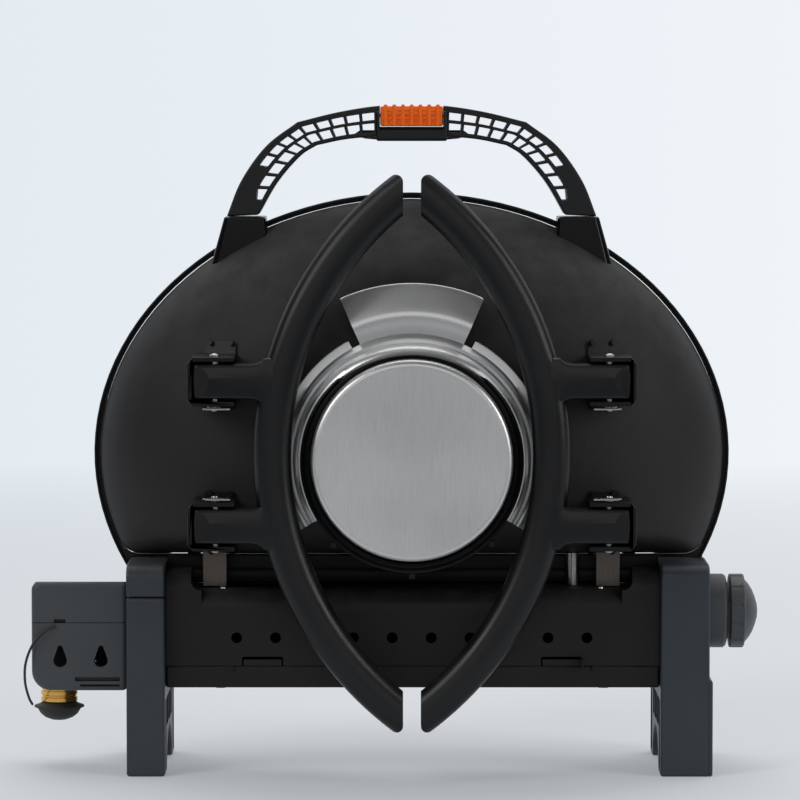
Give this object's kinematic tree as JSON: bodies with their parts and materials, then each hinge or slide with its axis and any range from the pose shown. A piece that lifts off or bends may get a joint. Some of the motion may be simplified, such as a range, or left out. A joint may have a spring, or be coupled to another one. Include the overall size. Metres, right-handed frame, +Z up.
{
  "type": "folding gas grill",
  "caption": "Portable clam-shell gas grill, closed and standing upright on its feet, legs folded, with a carry handle, drip tray and side knob.",
  "frame": {"origin": "centre of the bounding box at the floor that the feet stand on", "axes": "+Z up from the floor, +X along the hinge side towards the knob, -Y towards the bowl and its folded legs, +Y towards the lid"},
  "size_m": [0.568, 0.2491, 0.513],
  "materials": {
    "bowl_shell": "matt charcoal high-heat paint with a fine grain",
    "bowl_rim": "satin black powder coat",
    "cooking_grate_left": "matt seasoned cast iron",
    "cooking_grate_right": "matt seasoned cast iron",
    "burner_ring": "brushed stainless steel",
    "flame_tamer": "brushed stainless steel",
    "igniter_electrode": "gloss black moulded plastic",
    "tray_collar": "satin black powder coat",
    "heat_shield": "brushed stainless steel",
    "housing_cover": "satin black powder coat",
    "housing_floor": "satin black powder coat",
    "left_hinge_strap": "bare rolled steel",
    "right_hinge_strap": "bare rolled steel",
    "left_foot": "blue-grey moulded plastic",
    "left_foot_cap": "blue-grey moulded plastic",
    "right_foot": "blue-grey moulded plastic",
    "left_hinge_pin": "brushed stainless steel",
    "right_hinge_pin": "brushed stainless steel",
    "regulator_box": "dark grey moulded plastic",
    "regulator_box_cover": "dark grey moulded plastic",
    "regulator_body": "brushed stainless steel",
    "gas_inlet": "turned brass",
    "gas_pipe": "turned brass",
    "gas_valve": "turned brass",
    "burner_feed_pipe": "brushed stainless steel",
    "knob_collar": "dark grey moulded plastic",
    "front_handle_half": "satin black moulded plastic",
    "latch_pin": "brushed stainless steel",
    "left_handle_socket": "gloss black moulded plastic",
    "right_handle_socket": "gloss black moulded plastic",
    "left_upper_bracket": "satin black powder coat",
    "left_upper_pin": "brushed stainless steel",
    "left_upper_spring_clip": "brushed stainless steel",
    "left_lower_bracket": "satin black powder coat",
    "left_lower_pin": "brushed stainless steel",
    "left_lower_spring_clip": "brushed stainless steel",
    "right_upper_bracket": "satin black powder coat",
    "right_upper_pin": "brushed stainless steel",
    "right_upper_spring_clip": "brushed stainless steel",
    "right_lower_bracket": "satin black powder coat",
    "right_lower_pin": "brushed stainless steel",
    "right_lower_spring_clip": "brushed stainless steel",
    "lid_shell": "matt charcoal high-heat paint with a fine grain",
    "lid_rim": "satin black powder coat",
    "rear_handle_half": "satin black moulded plastic",
    "left_lid_socket": "gloss black moulded plastic",
    "right_lid_socket": "gloss black moulded plastic",
    "left_lid_hinge_arm": "satin black powder coat",
    "right_lid_hinge_arm": "satin black powder coat",
    "left_leg": "satin black moulded plastic",
    "right_leg": "satin black moulded plastic",
    "handle_latch": "orange moulded plastic",
    "valve_stem": "brushed stainless steel",
    "control_knob": "dark grey moulded plastic",
    "grease_tray": "brushed stainless steel",
    "dust_cap": "matt black rubber",
    "cap_tether": "matt black rubber"
  },
  "bodies": {
    "frame": {"bowl_shell": "bowl_shell", "bowl_rim": "bowl_rim", "cooking_grate_left": "cooking_grate_left", "cooking_grate_right": "cooking_grate_right", "burner_ring": "burner_ring", "flame_tamer": "flame_tamer", "igniter_electrode": "igniter_electrode", "tray_collar": "tray_collar", "heat_shield": "heat_shield", "housing_cover": "housing_cover", "housing_floor": "housing_floor", "left_hinge_strap": "left_hinge_strap", "right_hinge_strap": "right_hinge_strap", "left_foot": "left_foot", "left_foot_cap": "left_foot_cap", "right_foot": "right_foot", "left_hinge_pin": "left_hinge_pin", "right_hinge_pin": "right_hinge_pin", "regulator_box": "regulator_box", "regulator_box_cover": "regulator_box_cover", "regulator_body": "regulator_body", "gas_inlet": "gas_inlet", "gas_pipe": "gas_pipe", "gas_valve": "gas_valve", "burner_feed_pipe": "burner_feed_pipe", "knob_collar": "knob_collar", "front_handle_half": "front_handle_half", "latch_pin": "latch_pin", "left_handle_socket": "left_handle_socket", "right_handle_socket": "right_handle_socket", "left_upper_bracket": "left_upper_bracket", "left_upper_pin": "left_upper_pin", "left_upper_spring_clip": "left_upper_spring_clip", "left_lower_bracket": "left_lower_bracket", "left_lower_pin": "left_lower_pin", "left_lower_spring_clip": "left_lower_spring_clip", "right_upper_bracket": "right_upper_bracket", "right_upper_pin": "right_upper_pin", "right_upper_spring_clip": "right_upper_spring_clip", "right_lower_bracket": "right_lower_bracket", "right_lower_pin": "right_lower_pin", "right_lower_spring_clip": "right_lower_spring_clip"},
    "lid": {"lid_shell": "lid_shell", "lid_rim": "lid_rim", "rear_handle_half": "rear_handle_half", "left_lid_socket": "left_lid_socket", "right_lid_socket": "right_lid_socket", "left_lid_hinge_arm": "left_lid_hinge_arm", "right_lid_hinge_arm": "right_lid_hinge_arm"},
    "left_leg_body": {"left_leg": "left_leg"},
    "right_leg_body": {"right_leg": "right_leg"},
    "latch": {"handle_latch": "handle_latch"},
    "stem": {"valve_stem": "valve_stem"},
    "knob": {"control_knob": "control_knob"},
    "tray": {"grease_tray": "grease_tray"},
    "cap": {"dust_cap": "dust_cap", "cap_tether": "cap_tether"}
  },
  "joints": [
    {"name": "lid_hinge", "type": "hinge", "parent": "frame", "child": "lid", "pos_m": [0.0155, 0.0365, 0.148], "axis": [-1, 0, 0], "range_deg": [0, 95]},
    {"name": "left_leg_fold", "type": "hinge", "parent": "frame", "child": "left_leg_body", "pos_m": [-0.1325, -0.1135, 0.251], "axis": [0, 0, -1], "range_deg": [0, 105]},
    {"name": "right_leg_fold", "type": "hinge", "parent": "frame", "child": "right_leg_body", "pos_m": [0.1635, -0.1135, 0.251], "axis": [0, 0, 1], "range_deg": [0, 105]},
    {"name": "latch_lift", "type": "hinge", "parent": "frame", "child": "latch", "pos_m": [0.0155, -0.007, 0.5045], "axis": [1, 0, 0], "range_deg": [0, 20]},
    {"name": "knob_push", "type": "slide", "parent": "frame", "child": "stem", "axis": [-1, 0, 0], "range_m": [0, 0.002], "stiffness_N_per_m": 1500},
    {"name": "knob_turn", "type": "hinge", "parent": "stem", "child": "knob", "pos_m": [0.2655, -0.0035, 0.121], "axis": [1, 0, 0], "range_deg": [-130, 0]},
    {"name": "tray_release", "type": "slide", "parent": "frame", "child": "tray", "axis": [0, -1, 0], "range_m": [0, 0.04]},
    {"name": "cap_pull", "type": "slide", "parent": "frame", "child": "cap", "axis": [0, 0, -1], "range_m": [0, 0.012], "deforming": ["cap_tether"]}
  ]
}
